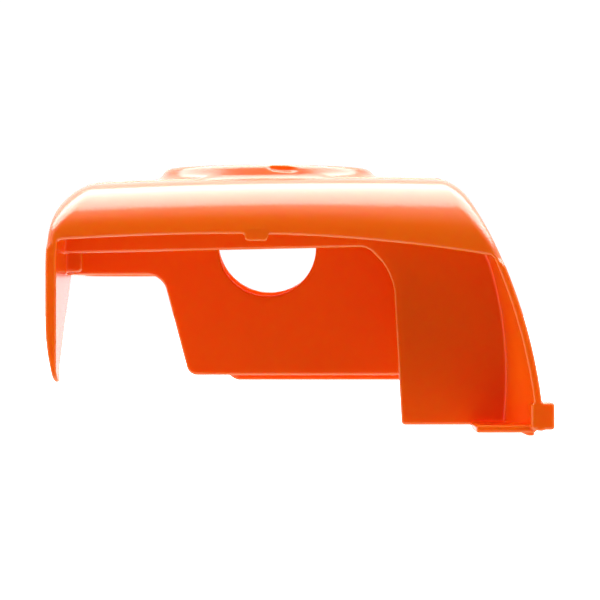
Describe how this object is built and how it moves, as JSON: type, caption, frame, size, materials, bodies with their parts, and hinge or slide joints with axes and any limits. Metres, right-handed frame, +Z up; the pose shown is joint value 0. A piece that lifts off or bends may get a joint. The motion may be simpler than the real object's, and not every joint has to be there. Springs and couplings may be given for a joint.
{
  "type": "air filter housing",
  "caption": "Moulded top cover of a small engine's air filter housing, open at one end, with a partition, air ports and a quarter-turn lock in a round boss.",
  "frame": {"origin": "middle of the cover's bounding box, at the height of its lowest point", "axes": "+X across the cover towards the deep skirt, +Y from the open mouth to the back, +Z up through the lock's axis"},
  "size_m": [0.151, 0.124, 0.0819],
  "materials": {
    "orange_plastic": "gloss",
    "black_nylon": "satin",
    "white_acetal": "satin",
    "rubber": "matte",
    "zinc_steel": "satin",
    "spring_steel": "satin"
  },
  "bodies": {
    "cover": {"cover_shell": "orange_plastic", "lock_bush": "white_acetal"},
    "lock_float": {"spring_washer": "zinc_steel", "lock_spring": "spring_steel"},
    "lock_rotor": {"lock_knob": "black_nylon", "knob_screw": "zinc_steel", "lock_stem": "zinc_steel", "cross_pin": "zinc_steel", "sealing_ring": "rubber", "retaining_clip": "spring_steel"}
  },
  "joints": [
    {"name": "lock_lift", "type": "slide", "parent": "cover", "child": "lock_float", "axis": [0, 0, 1], "range_m": [0, 0.0025], "stiffness_N_per_m": 900, "springref_m": -0.003, "deforming": ["lock_spring"]},
    {"name": "lock_turn", "type": "hinge", "parent": "lock_float", "child": "lock_rotor", "pos_m": [-0.0102, 0, 0.075], "axis": [0, 0, 1], "range_deg": [0, 90]}
  ]
}
